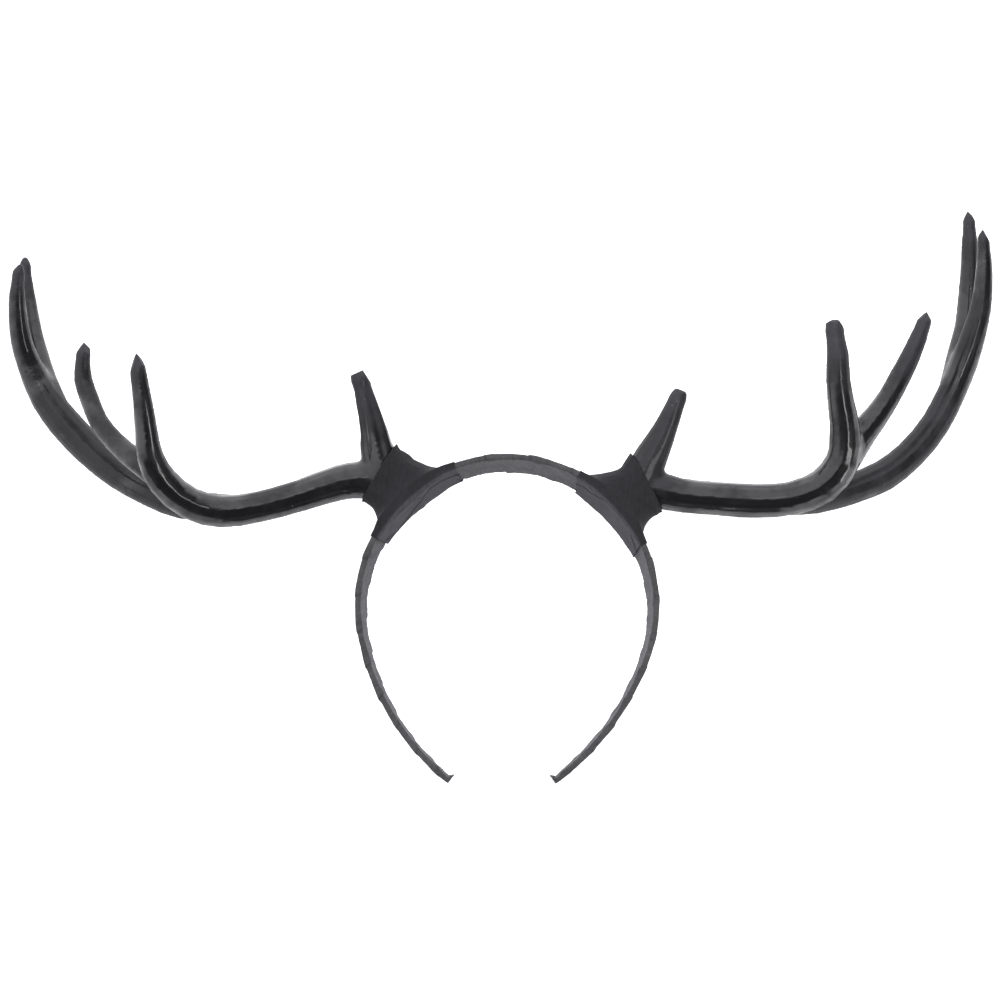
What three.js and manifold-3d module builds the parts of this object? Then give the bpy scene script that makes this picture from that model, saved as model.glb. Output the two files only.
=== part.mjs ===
// Antler headband: a slim hoop wound in cloth tape carries two moulded antlers, and more
// tape is wound over the hoop and each antler's foot. Left and right are as seen from the front.
// Millimetres. Everything is drawn as worn, +X to the right, +Z up and -Y to the front,
// and is then laid on its back on the stable face that it comes to rest on.

import * as THREE from 'three';
import { ConvexHull } from 'three/addons/math/ConvexHull.js';
import { mergeVertices } from 'three/addons/utils/BufferGeometryUtils.js';
import Module from 'manifold-3d';

const wasm = await Module();
wasm.setup();

// Hoop: the outline is that of its front outer edge, a crown arc that opens into two limbs
const crownRadius = 69.3;
const limbs = {
  left: { start: 101, radius: 113, length: 80 }, // start in degrees from the top
  right: { start: 110, radius: 122, length: 72 },
};
const hoopThickness = 2.8;
const strapWidthCrown = 24;
const strapWidthTip = 10;
const strapTaperStart = 45; // length along the hoop, from the top, that keeps its full width
const strapFlare = 6.5; // degrees that the rear edge leans in
const strapChamfer = 0.9;

// Tape wound along the hoop
const tapeStep = 0.35; // height of one layer's edge
const tapeEdge = 0.5; // length over which that edge drops
const turnPitchCrown = 21;
const turnPitchTip = 13.5;
const turnSlant = 0.25; // share of a turn by which its edge runs askew
const turnMiddle = 0.55; // share of a turn, from its thick end, at its middle section
const lastTurnPitches = 1.5; // the last turn at a tip is no longer than this many tip pitches
const crownPanel = 14; // length of the flat that rests on the head
const tipPinch = 0.8; // share of the thickness just before each cut end
const tipSpread = 1.4; // share of the thickness at each cut end
const tipPinchLength = 6;
const tipSpreadLength = 1.5; // the last of that length, over which the end spreads

// Antlers: each one's table holds shares of these
const antlerSizes = {
  left: { side: -1, footAngle: 45.6, reach: 180, rise: 112, depth: 40, girth: 15 },
  right: { side: 1, footAngle: 47.1, reach: 172, rise: 134, depth: 40, girth: 15 },
};
const antlerFlatness = 0.92; // front-to-back share of the girth
const ridgeCount = 4;
const ridgeHeight = 0.04;
const branchSides = 12;
const ringsPerRow = 2;

// Bindings
const bindingSizes = {
  left: { span: 51, rise: 20 },
  right: { span: 43, rise: 20 },
};
// The wrap's reach from the foot along the hoop each way, and the length by which the rear
// edge of its ends lies to the right of their front edge
const wrapSizes = {
  left: { tipward: 20.2, crownward: 32, slant: 2.4 },
  right: { tipward: 24.1, crownward: 21.5, slant: 1.8 },
};
const wrapThickness = 1.3; // tape over the hoop's faces
const wrapEdge = 0.4; // the same at the wrap's two ends
const collarThickness = 1.1; // tape over the antler
const wrapSectionSpacing = 5;
const bindingSides = 24;
const bindingSquareness = 2.7;
const creaseCount = 6; // lengthwise creases in the tape
const creaseDepth = 0.025; // as a share of the section

const clearance = 0.3; // between neighbours

// Antler tables: one row for each section of a branch, from its root to its tip.
// out and up are measured from the foot as shares of reach and rise, back (towards the rear)
// as a share of depth, and girth is the section's width as a share of the antler's girth.
const antlerBranches = {
  left: {
    brow: [
      { out: 0.005, up: 0.02, back: 0, girth: 1.1 },
      { out: 0.045, up: 0.12, back: -0.05, girth: 1.2 },
      { out: 0.06, up: 0.22, back: -0.1, girth: 1.02 },
      { out: 0.067, up: 0.29, back: -0.15, girth: 0.83 },
      { out: 0.08, up: 0.37, back: -0.2, girth: 0.67 },
      { out: 0.095, up: 0.45, back: -0.25, girth: 0.58 },
      { out: 0.105, up: 0.505, back: -0.28, girth: 0.52 },
      { out: 0.112, up: 0.53, back: -0.3, girth: 0.36 },
    ],
    front: [
      { out: 0, up: 0, back: 0, girth: 1.2 },
      { out: 0.045, up: 0.085, back: 0, girth: 1.2 },
      { out: 0.105, up: 0.1, back: 0, girth: 1.12 },
      { out: 0.16, up: 0.088, back: 0, girth: 1.07 },
      { out: 0.26, up: 0.036, back: 0.02, girth: 0.97 },
      { out: 0.365, up: -0.01, back: 0.02, girth: 0.95 },
      { out: 0.46, up: -0.032, back: -0.03, girth: 0.98 },
      { out: 0.535, up: -0.006, back: -0.2, girth: 0.98 },
      { out: 0.598, up: 0.073, back: -0.42, girth: 0.92 },
      { out: 0.627, up: 0.165, back: -0.58, girth: 0.8 },
      { out: 0.635, up: 0.27, back: -0.68, girth: 0.68 },
      { out: 0.643, up: 0.385, back: -0.78, girth: 0.57 },
      { out: 0.652, up: 0.485, back: -0.83, girth: 0.5 },
      { out: 0.655, up: 0.535, back: -0.85, girth: 0.38 },
      { out: 0.658, up: 0.562, back: -0.85, girth: 0.14 },
    ],
    second: [
      { out: 0.59, up: 0.075, back: -0.3, girth: 0.8 },
      { out: 0.67, up: 0.166, back: -0.23, girth: 0.71 },
      { out: 0.731, up: 0.25, back: -0.15, girth: 0.64 },
      { out: 0.776, up: 0.341, back: -0.08, girth: 0.6 },
      { out: 0.8, up: 0.43, back: -0.05, girth: 0.58 },
      { out: 0.818, up: 0.515, back: -0.05, girth: 0.55 },
      { out: 0.819, up: 0.585, back: -0.1, girth: 0.48 },
      { out: 0.816, up: 0.635, back: -0.13, girth: 0.33 },
      { out: 0.816, up: 0.657, back: -0.15, girth: 0.1 },
    ],
    outer: [
      { out: 0.445, up: -0.015, back: 0.05, girth: 0.86 },
      { out: 0.565, up: 0.011, back: 0.23, girth: 0.88 },
      { out: 0.655, up: 0.071, back: 0.38, girth: 0.9 },
      { out: 0.742, up: 0.154, back: 0.5, girth: 0.93 },
      { out: 0.817, up: 0.256, back: 0.58, girth: 1 },
      { out: 0.889, up: 0.376, back: 0.6, girth: 1.02 },
      { out: 0.94, up: 0.486, back: 0.58, girth: 0.92 },
      { out: 0.98, up: 0.617, back: 0.48, girth: 0.74 },
      { out: 0.998, up: 0.71, back: 0.38, girth: 0.65 },
      { out: 1.005, up: 0.815, back: 0.28, girth: 0.57 },
      { out: 1.005, up: 0.905, back: 0.2, girth: 0.47 },
      { out: 1, up: 0.975, back: 0.15, girth: 0.32 },
      { out: 0.995, up: 1.01, back: 0.13, girth: 0.14 },
    ],
    rear: [
      { out: 0.905, up: 0.42, back: 0.6, girth: 0.78 },
      { out: 0.944, up: 0.563, back: 0.68, girth: 0.7 },
      { out: 0.97, up: 0.69, back: 0.75, girth: 0.62 },
      { out: 0.987, up: 0.795, back: 0.8, girth: 0.56 },
      { out: 1, up: 0.905, back: 0.83, girth: 0.5 },
      { out: 1.01, up: 1.01, back: 0.85, girth: 0.41 },
      { out: 1.012, up: 1.07, back: 0.85, girth: 0.26 },
      { out: 1.013, up: 1.1, back: 0.85, girth: 0.1 },
    ],
  },
  right: {
    brow: [
      { out: 0.012, up: 0.01, back: 0, girth: 1.12 },
      { out: 0.062, up: 0.085, back: -0.05, girth: 1.17 },
      { out: 0.097, up: 0.17, back: -0.1, girth: 1 },
      { out: 0.12, up: 0.227, back: -0.15, girth: 0.84 },
      { out: 0.139, up: 0.28, back: -0.2, girth: 0.69 },
      { out: 0.156, up: 0.333, back: -0.25, girth: 0.57 },
      { out: 0.167, up: 0.367, back: -0.27, girth: 0.48 },
      { out: 0.174, up: 0.387, back: -0.28, girth: 0.34 },
    ],
    front: [
      { out: 0, up: 0, back: 0, girth: 1.2 },
      { out: 0.055, up: 0.06, back: 0, girth: 1.2 },
      { out: 0.105, up: 0.06, back: 0, girth: 1.15 },
      { out: 0.175, up: 0.04, back: 0, girth: 1.04 },
      { out: 0.27, up: 0.03, back: 0.02, girth: 1.04 },
      { out: 0.375, up: 0.022, back: 0.02, girth: 1.04 },
      { out: 0.47, up: 0.028, back: -0.05, girth: 1.02 },
      { out: 0.55, up: 0.063, back: -0.23, girth: 1.04 },
      { out: 0.598, up: 0.143, back: -0.4, girth: 1 },
      { out: 0.602, up: 0.235, back: -0.53, girth: 0.91 },
      { out: 0.59, up: 0.315, back: -0.65, girth: 0.82 },
      { out: 0.58, up: 0.395, back: -0.75, girth: 0.74 },
      { out: 0.577, up: 0.487, back: -0.83, girth: 0.65 },
      { out: 0.57, up: 0.555, back: -0.86, girth: 0.54 },
      { out: 0.568, up: 0.595, back: -0.87, girth: 0.4 },
    ],
    second: [
      { out: 0.586, up: 0.109, back: -0.33, girth: 0.96 },
      { out: 0.64, up: 0.215, back: -0.32, girth: 0.9 },
      { out: 0.693, up: 0.301, back: -0.25, girth: 0.77 },
      { out: 0.732, up: 0.373, back: -0.2, girth: 0.69 },
      { out: 0.763, up: 0.445, back: -0.17, girth: 0.65 },
      { out: 0.794, up: 0.519, back: -0.15, girth: 0.61 },
      { out: 0.817, up: 0.588, back: -0.17, girth: 0.52 },
      { out: 0.83, up: 0.636, back: -0.2, girth: 0.32 },
      { out: 0.835, up: 0.66, back: -0.2, girth: 0.08 },
    ],
    outer: [
      { out: 0.43, up: 0.02, back: 0.03, girth: 0.86 },
      { out: 0.54, up: 0.033, back: 0.18, girth: 0.87 },
      { out: 0.64, up: 0.075, back: 0.33, girth: 0.94 },
      { out: 0.734, up: 0.129, back: 0.45, girth: 0.95 },
      { out: 0.815, up: 0.211, back: 0.55, girth: 0.93 },
      { out: 0.885, up: 0.32, back: 0.58, girth: 0.88 },
      { out: 0.929, up: 0.428, back: 0.55, girth: 0.88 },
      { out: 0.964, up: 0.535, back: 0.48, girth: 0.86 },
      { out: 0.987, up: 0.63, back: 0.35, girth: 0.75 },
      { out: 1.003, up: 0.72, back: 0.25, girth: 0.65 },
      { out: 1.01, up: 0.82, back: 0.18, girth: 0.55 },
      { out: 1.01, up: 0.9, back: 0.13, girth: 0.44 },
      { out: 1.008, up: 0.945, back: 0.1, girth: 0.26 },
      { out: 1.007, up: 0.975, back: 0.1, girth: 0.08 },
    ],
    rear: [
      { out: 0.93, up: 0.45, back: 0.58, girth: 0.76 },
      { out: 0.957, up: 0.575, back: 0.68, girth: 0.7 },
      { out: 0.98, up: 0.68, back: 0.75, girth: 0.64 },
      { out: 0.991, up: 0.79, back: 0.8, girth: 0.62 },
      { out: 0.999, up: 0.9, back: 0.83, girth: 0.58 },
      { out: 1.001, up: 0.995, back: 0.83, girth: 0.51 },
      { out: 1.001, up: 1.054, back: 0.83, girth: 0.36 },
      { out: 0.999, up: 1.094, back: 0.83, girth: 0.12 },
    ],
  },
};

// Binding tables: one row for each section from the hoop up to the collar on the antler.
// tipward and crownward are the section's two ends along the hoop, as shares of span, with
// their heights off the hoop as shares of rise; deep is its depth as a share of the strap's.
const bindingSections = {
  left: [
    { tipward: -0.38, tipRise: -0.17, crownward: 0.59, crownRise: -0.28, deep: 1.1 },
    { tipward: -0.35, tipRise: -0.05, crownward: 0.48, crownRise: -0.08, deep: 1.09 },
    { tipward: -0.25, tipRise: 0.1, crownward: 0.41, crownRise: 0.17, deep: 1.02 },
    { tipward: -0.2, tipRise: 0.4, crownward: 0.36, crownRise: 0.55, deep: 0.9 },
    { tipward: -0.21, tipRise: 0.6, crownward: 0.33, crownRise: 0.88, deep: 0.8 },
  ],
  right: [
    { tipward: -0.47, tipRise: -0.06, crownward: 0.48, crownRise: -0.18, deep: 1.1 },
    { tipward: -0.41, tipRise: 0.02, crownward: 0.46, crownRise: 0, deep: 1.09 },
    { tipward: -0.36, tipRise: 0.2, crownward: 0.37, crownRise: 0.24, deep: 1.02 },
    { tipward: -0.34, tipRise: 0.43, crownward: 0.28, crownRise: 0.58, deep: 0.9 },
    { tipward: -0.37, tipRise: 0.6, crownward: 0.19, crownRise: 0.88, deep: 0.8 },
  ],
};

// The tape's edge over each antler, as two ends of a straight line in the same shares
const collarEdge = {
  left: { tipward: -0.26, tipRise: 0.69, crownward: 0.32, crownRise: 1.02 },
  right: { tipward: -0.43, tipRise: 0.69, crownward: 0.22, crownRise: 1.05 },
};

const { degToRad, lerp, smoothstep } = THREE.MathUtils;
const crownLength = (limb) => crownRadius * degToRad(limb.start);
const hoopEnd = {
  left: crownLength(limbs.left) + limbs.left.length,
  right: crownLength(limbs.right) + limbs.right.length,
};

// A closed shell through a list of rings with equally many corners, capped at both ends
function loftRings(rings) {
  const sides = rings[0].length;
  const corners = rings.flat();
  const faces = [];
  for (let i = 0; i + 1 < rings.length; i += 1) {
    for (let j = 0; j < sides; j += 1) {
      const a = i * sides + j;
      const b = i * sides + (j + 1) % sides;
      faces.push(a, b, b + sides, a, b + sides, a + sides);
    }
  }
  const last = (rings.length - 1) * sides;
  const middles = [rings[0], rings[rings.length - 1]].map((ring) => ringMiddle(ring));
  corners.push(...middles);
  for (let j = 0; j < sides; j += 1) {
    const next = (j + 1) % sides;
    faces.push(corners.length - 2, next, j);
    faces.push(corners.length - 1, last + j, last + next);
  }
  return solidFrom(corners, faces);
}

function ringMiddle(ring) {
  const sum = ring.reduce((total, corner) => total.add(corner), new THREE.Vector3());
  return sum.divideScalar(ring.length);
}

function solidFrom(corners, faces) {
  const vertProperties = new Float32Array(corners.flatMap((corner) => corner.toArray()));
  const triVerts = new Uint32Array(faces);
  return new wasm.Manifold(new wasm.Mesh({ numProp: 3, vertProperties, triVerts }));
}

function solidFromGeometry(geometry) {
  const plain = geometry.clone();
  plain.deleteAttribute('normal');
  plain.deleteAttribute('uv');
  const merged = mergeVertices(plain);
  const mesh = new wasm.Mesh({
    numProp: 3,
    vertProperties: merged.attributes.position.array,
    triVerts: new Uint32Array(merged.index.array),
  });
  return new wasm.Manifold(mesh);
}

function geometryFrom(solid) {
  const mesh = solid.getMesh();
  const geometry = new THREE.BufferGeometry();
  geometry.setAttribute('position', new THREE.BufferAttribute(mesh.vertProperties, mesh.numProp));
  geometry.setIndex(new THREE.BufferAttribute(mesh.triVerts, 1));
  geometry.computeVertexNormals();
  return geometry;
}

// Place and outward direction on the hoop's outline, at a length along it from the top
function hoopPlace(along) {
  const side = along < 0 ? -1 : 1;
  const limb = along < 0 ? limbs.left : limbs.right;
  const travel = Math.abs(along);
  const onCrown = Math.min(travel, crownLength(limb)) / crownRadius;
  const turn = onCrown + Math.max(travel - crownLength(limb), 0) / limb.radius;
  const x = crownRadius * Math.sin(onCrown) + limb.radius * (Math.sin(turn) - Math.sin(onCrown));
  const z = crownRadius * (Math.cos(onCrown) - 1) + limb.radius * (Math.cos(turn) - Math.cos(onCrown));
  return { x: side * x, z, outX: side * Math.sin(turn), outZ: Math.cos(turn) };
}

function strapWidth(along) {
  const end = along < 0 ? hoopEnd.left : hoopEnd.right;
  return lerp(strapWidthCrown, strapWidthTip, smoothstep(Math.abs(along), strapTaperStart, end));
}

// A point of the strap: across is measured back from the front edge, height out from the outer face
function strapPoint(along, across, height) {
  const place = hoopPlace(along);
  const lean = degToRad(strapFlare);
  const outward = height * Math.cos(lean) - across * Math.sin(lean);
  const back = across * Math.cos(lean) + height * Math.sin(lean) - strapWidth(along) / 2;
  return new THREE.Vector3(place.x + outward * place.outX, back, place.z + outward * place.outZ);
}

// One chamfered section of the strap. layer thickens both faces, grow widens it all round,
// and slant is the length by which the rear edge runs ahead of the front edge.
function strapSection(along, { layer = 0, grow = 0, slant = 0, thickness = hoopThickness }) {
  const width = strapWidth(along);
  const outer = layer + grow;
  const inner = -thickness - layer - grow;
  const rear = width + grow;
  const outline = [
    [-grow, outer - strapChamfer],
    [-grow, inner + strapChamfer],
    [strapChamfer - grow, inner],
    [width / 2, inner],
    [rear - strapChamfer, inner],
    [rear, inner + strapChamfer],
    [rear, outer - strapChamfer],
    [rear - strapChamfer, outer],
    [width / 2, outer],
    [strapChamfer - grow, outer],
  ];
  return outline.map(([across, height]) => {
    const ahead = slant * (across / width - 0.5);
    return strapPoint(along + ahead, across, height);
  });
}

// Lengths along the hoop at which a turn of tape ends, from the left tip to the right
function turnEdges() {
  const edges = [-turnPitchCrown / 2, turnPitchCrown / 2];
  for (const side of [-1, 1]) {
    const end = side < 0 ? hoopEnd.left : hoopEnd.right;
    let along = turnPitchCrown / 2;
    while (end - along > turnPitchTip * lastTurnPitches) {
      along += lerp(turnPitchCrown, turnPitchTip, along / end);
      edges.push(side * along);
    }
  }
  return edges.sort((a, b) => a - b);
}

// Thickness near a cut end, where the tape is pinched and then spreads
function endThickness(along) {
  const end = along < 0 ? hoopEnd.left : hoopEnd.right;
  const fromEnd = end - Math.abs(along);
  const pinched = lerp(tipPinch, 1, smoothstep(fromEnd, tipSpreadLength, tipPinchLength));
  return hoopThickness * lerp(tipSpread, pinched, smoothstep(fromEnd, 0, tipSpreadLength));
}

function hoopSolid(grow) {
  const edges = [-hoopEnd.left, ...turnEdges(), hoopEnd.right];
  const rings = [];
  const addRing = (along, layer, slant) => {
    rings.push(strapSection(along, { layer, grow, slant, thickness: endThickness(along) }));
  };
  for (let turn = 0; turn + 1 < edges.length; turn += 1) {
    const start = edges[turn];
    const finish = edges[turn + 1];
    const first = turn === 0;
    const last = turn + 2 === edges.length;
    const slant = turnSlant * (finish - start);
    if (start < 0 && finish > 0) {
      addRing(start + tapeEdge, tapeStep, slant);
      addRing(-crownPanel / 2, tapeStep / 2, 0);
      addRing(crownPanel / 2, tapeStep / 2, 0);
      addRing(finish, 0, slant);
      continue;
    }
    addRing(first ? start : start + tapeEdge, first ? 0 : tapeStep, first ? 0 : slant);
    if (first) addRing(start + tipSpreadLength, 0, 0);
    if (first) addRing(start + tipPinchLength, 0, 0);
    addRing(lerp(start, finish, turnMiddle), tapeStep * (1 - turnMiddle), first || last ? 0 : slant);
    if (last) addRing(finish - tipPinchLength, 0, 0);
    if (last) addRing(finish - tipSpreadLength, 0, 0);
    addRing(finish, 0, last ? 0 : slant);
  }
  return loftRings(rings);
}

// The foot of an antler: the hoop's mid-thickness at the foot angle, with the directions
// out of the hoop and along it towards the crown
function footFrame(name) {
  const { side, footAngle } = antlerSizes[name];
  const place = hoopPlace(side * crownRadius * degToRad(footAngle));
  const depth = hoopThickness / 2;
  return {
    point: new THREE.Vector3(place.x - depth * place.outX, 0, place.z - depth * place.outZ),
    out: new THREE.Vector3(place.outX, 0, place.outZ),
    crownward: new THREE.Vector3(-side * place.outZ, 0, side * place.outX),
  };
}

function branchPoint(name, row) {
  const { side, reach, rise, depth } = antlerSizes[name];
  const offset = new THREE.Vector3(side * row.out * reach, row.back * depth, row.up * rise);
  return footFrame(name).point.add(offset);
}

// One branch as a tapered tube with shallow lengthwise ridges, grown all round by grow
function branchSolid(name, rows, grow) {
  const points = rows.map((row) => branchPoint(name, row));
  const curve = new THREE.CatmullRomCurve3(points, false, 'centripetal');
  const front = new THREE.Vector3(0, -1, 0);
  const steps = (rows.length - 1) * ringsPerRow;
  const rings = [];
  for (let step = 0; step <= steps; step += 1) {
    const share = step / steps;
    const place = share * (rows.length - 1);
    const row = Math.min(Math.floor(place), rows.length - 2);
    const girth = lerp(rows[row].girth, rows[row + 1].girth, place - row) * antlerSizes[name].girth;
    const middle = curve.getPoint(share);
    const ahead = curve.getTangent(share);
    const sideways = front.clone().cross(ahead).normalize();
    const frontward = ahead.clone().cross(sideways).normalize();
    const ring = [];
    for (let corner = 0; corner < branchSides; corner += 1) {
      const angle = corner / branchSides * 2 * Math.PI;
      const ridge = 1 + ridgeHeight * Math.cos(ridgeCount * angle);
      const radius = girth / 2 * ridge;
      const wide = (radius + grow) * Math.cos(angle);
      const deep = (radius * antlerFlatness + grow) * Math.sin(angle);
      ring.push(middle.clone().addScaledVector(sideways, wide).addScaledVector(frontward, deep));
    }
    rings.push(ring);
  }
  return loftRings(rings);
}

function antlerSolid(name, grow) {
  const solids = Object.values(antlerBranches[name]).map((rows) => branchSolid(name, rows, grow));
  return solids.reduce((joined, branch) => joined.add(branch));
}

// A point of a binding from its shares: along the hoop towards the crown, and off the hoop
function bindingPoint(name, alongShare, riseShare) {
  const foot = footFrame(name);
  const { span, rise } = bindingSizes[name];
  foot.point.addScaledVector(foot.crownward, alongShare * span);
  return foot.point.addScaledVector(foot.out, riseShare * rise);
}

function bindingBody(name) {
  const { side } = antlerSizes[name];
  const rings = bindingSections[name].map((section) => {
    const low = bindingPoint(name, section.tipward, section.tipRise);
    const high = bindingPoint(name, section.crownward, section.crownRise);
    const middle = low.clone().lerp(high, 0.5);
    const reach = high.clone().sub(middle);
    const halfDepth = section.deep * strapWidthCrown / 2;
    const ring = [];
    for (let corner = 0; corner < bindingSides; corner += 1) {
      const angle = -side * corner / bindingSides * 2 * Math.PI;
      const crease = 1 + creaseDepth * Math.cos(creaseCount * angle);
      const wide = crease * superPower(Math.cos(angle));
      const deep = crease * superPower(Math.sin(angle)) * halfDepth;
      ring.push(middle.clone().addScaledVector(reach, wide).add(new THREE.Vector3(0, deep, 0)));
    }
    return ring;
  });
  return loftRings(rings);
}

function superPower(value) {
  return Math.sign(value) * Math.abs(value) ** (2 / bindingSquareness);
}

// Tape round the strap itself, under and beside the binding's body
function hoopWrap(name) {
  const { side, footAngle } = antlerSizes[name];
  const foot = side * crownRadius * degToRad(footAngle);
  const { tipward, crownward, slant } = wrapSizes[name];
  const ends = [foot + side * tipward, foot - side * crownward];
  const [start, finish] = ends.sort((a, b) => a - b);
  const steps = Math.ceil((finish - start) / wrapSectionSpacing);
  const rings = [];
  for (let step = 0; step <= steps; step += 1) {
    const along = lerp(start, finish, step / steps);
    const fullness = Math.sin(Math.PI * step / steps);
    const grow = clearance + lerp(wrapEdge, wrapThickness, fullness);
    rings.push(strapSection(along, { layer: tapeStep, grow, slant }));
  }
  return loftRings(rings);
}

// A block that holds everything between the hoop and the collar's edge; twice the span is
// more than enough to reach round the antler and the hoop
function collarSide(name) {
  const edge = collarEdge[name];
  const low = bindingPoint(name, edge.tipward, edge.tipRise);
  const high = bindingPoint(name, edge.crownward, edge.crownRise);
  const size = 2 * bindingSizes[name].span;
  const block = new THREE.BoxGeometry(size, size, size);
  const upEdge = high.clone().sub(low).normalize();
  const depthwise = new THREE.Vector3(0, 1, 0);
  const away = upEdge.clone().cross(depthwise);
  if (away.dot(footFrame(name).out) < 0) away.negate();
  const turned = new THREE.Matrix4().makeBasis(upEdge.clone().cross(away), upEdge, away);
  const middle = low.lerp(high, 0.5).addScaledVector(away, -size / 2);
  block.applyMatrix4(turned.setPosition(middle));
  return solidFromGeometry(block);
}

function bindingSolid(name, hoopRoom) {
  const collar = antlerSolid(name, clearance + collarThickness).intersect(collarSide(name));
  const wound = bindingBody(name).add(hoopWrap(name)).add(collar);
  return wound.subtract(hoopRoom).subtract(antlerSolid(name, clearance));
}

// The stable face behind the headband: the hull face that its centre of mass stands over
function restingFace(solids) {
  const corners = [];
  const mass = new THREE.Vector3();
  let volume = 0;
  for (const solid of solids) {
    const mesh = solid.getMesh();
    const at = (index) => new THREE.Vector3().fromArray(mesh.vertProperties, index * mesh.numProp);
    for (let i = 0; i < mesh.triVerts.length; i += 3) {
      const [a, b, c] = [at(mesh.triVerts[i]), at(mesh.triVerts[i + 1]), at(mesh.triVerts[i + 2])];
      const wedge = a.dot(b.clone().cross(c)) / 6;
      volume += wedge;
      mass.addScaledVector(a.clone().add(b).add(c), wedge / 4);
      corners.push(a);
    }
  }
  mass.divideScalar(volume);
  const hull = new ConvexHull().setFromPoints(corners);
  const standsOver = (face) => {
    let edge = face.edge;
    do {
      const from = edge.tail().point;
      const run = edge.head().point.clone().sub(from);
      if (run.cross(mass.clone().sub(from)).dot(face.normal) < 0) return false;
      edge = edge.next;
    } while (edge !== face.edge);
    return true;
  };
  const faces = hull.faces.filter((face) => standsOver(face));
  return faces.reduce((best, face) => (face.normal.y > best.normal.y ? face : best)).normal;
}

function layOnBack(group, downward) {
  const up = downward.clone().negate();
  const ahead = up.clone().cross(new THREE.Vector3(1, 0, 0)).normalize();
  const across = ahead.clone().cross(up);
  const worn = new THREE.Matrix4().makeBasis(across, ahead, up);
  group.quaternion.setFromRotationMatrix(worn.transpose());
  group.updateMatrixWorld(true);
  const box = new THREE.Box3().setFromObject(group, true);
  const middle = box.getCenter(new THREE.Vector3());
  group.position.set(-middle.x, -middle.y, -box.min.z);
}

function mouldedPlastic() {
  return new THREE.MeshStandardMaterial({ color: 0x17171a, roughness: 0.22, metalness: 0 });
}

function clothTape() {
  return new THREE.MeshStandardMaterial({ color: 0x3a3a3c, roughness: 0.9, metalness: 0 });
}

const hoopRoom = hoopSolid(clearance);
const pieces = {
  headband: { solid: hoopSolid(0), material: clothTape() },
  left_antler: { solid: antlerSolid('left', 0).subtract(hoopRoom), material: mouldedPlastic() },
  right_antler: { solid: antlerSolid('right', 0).subtract(hoopRoom), material: mouldedPlastic() },
  left_binding: { solid: bindingSolid('left', hoopRoom), material: clothTape() },
  right_binding: { solid: bindingSolid('right', hoopRoom), material: clothTape() },
};

const headpiece = new THREE.Group();
for (const [name, { solid, material }] of Object.entries(pieces)) {
  const mesh = new THREE.Mesh(geometryFrom(solid), material);
  mesh.name = name;
  headpiece.add(mesh);
}
layOnBack(headpiece, restingFace(Object.values(pieces).map((piece) => piece.solid)));

const group = new THREE.Group();
group.add(headpiece);

export default group;
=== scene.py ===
import math
import bpy
import numpy as np
from mathutils import Matrix, Vector, kdtree


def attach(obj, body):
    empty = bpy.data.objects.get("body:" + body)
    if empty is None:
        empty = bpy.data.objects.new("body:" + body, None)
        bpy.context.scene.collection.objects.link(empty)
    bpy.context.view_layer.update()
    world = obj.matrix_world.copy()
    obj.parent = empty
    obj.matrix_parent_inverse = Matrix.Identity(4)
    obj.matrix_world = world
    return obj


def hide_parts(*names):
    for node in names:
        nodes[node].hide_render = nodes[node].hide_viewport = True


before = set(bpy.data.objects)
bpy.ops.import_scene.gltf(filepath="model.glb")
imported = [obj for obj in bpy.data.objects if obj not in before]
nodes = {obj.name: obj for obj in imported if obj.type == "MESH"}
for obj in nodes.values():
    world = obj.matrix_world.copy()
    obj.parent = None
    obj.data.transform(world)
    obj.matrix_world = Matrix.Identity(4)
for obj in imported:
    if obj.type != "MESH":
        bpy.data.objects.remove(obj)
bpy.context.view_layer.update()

# Place of the headband: the worn headpiece is turned onto its back, where it lies on the two
# outer beams and a tip of the hoop, with its front up.
crown_top = Vector((0.00304, 0.01054, 0.02841))
turned_back = math.radians(-80.92)
turned_over = math.radians(0.03)
turned_round = math.radians(0.16)
as_worn = (
    Matrix.Translation(crown_top)
    @ Matrix.Rotation(turned_back, 4, "X")
    @ Matrix.Rotation(turned_over, 4, "Y")
    @ Matrix.Rotation(turned_round, 4, "Z")
)
worn_axes = np.array(as_worn.to_3x3())
worn_origin = np.array(crown_top)


def laid(points):
    return points @ worn_axes.T + worn_origin


def worn(points):
    return (points - worn_origin) @ worn_axes


# Headband: a flat springy hoop, open at the bottom, wound from tip to tip in cotton cloth tape.
# Each turn overlaps the one before, which leaves a step at every turn. The tape's cut ends are
# pinched flat and flare out at the two tips.
crown_radius = 0.0693
limbs = {
    "left": {"start": math.radians(101), "radius": 0.113, "length": 0.080},
    "right": {"start": math.radians(110), "radius": 0.122, "length": 0.072},
}
strap_thickness = 0.0028
strap_width_crown = 0.024
strap_width_tip = 0.010
strap_taper_start = 0.045
strap_flare = math.radians(6.5)
strap_edge_squareness = 3.2
tape_step = 0.00035
turn_pitch_crown = 0.021
turn_pitch_tip = 0.0135
tape_edge_share = 0.022
tape_level_share = 0.08
tape_overlap_share = 0.62
tape_unevenness = 0.35
gather_depth = 0.00016
gather_size = 0.0021
fine_gather_size = 0.0011
outer_face_gathers = 0.55
crease_depth = 0.00010
crease_size = 0.0052
tip_pinch = 0.8
tip_spread = 1.5
tip_pinch_length = 0.006
tip_spread_length = 0.0018
tip_calm_length = 0.002
tip_fray = 0.0007
tip_fray_size = 0.0015
tip_fray_length = 0.0025
step_along = 0.00045
face_columns = 27
edge_columns = 10
seam_shift = 0.0008


def smooth_ramp(values, low, high):
    share = np.clip((values - low) / (high - low), 0, 1)
    return share * share * (3 - 2 * share)


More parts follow.
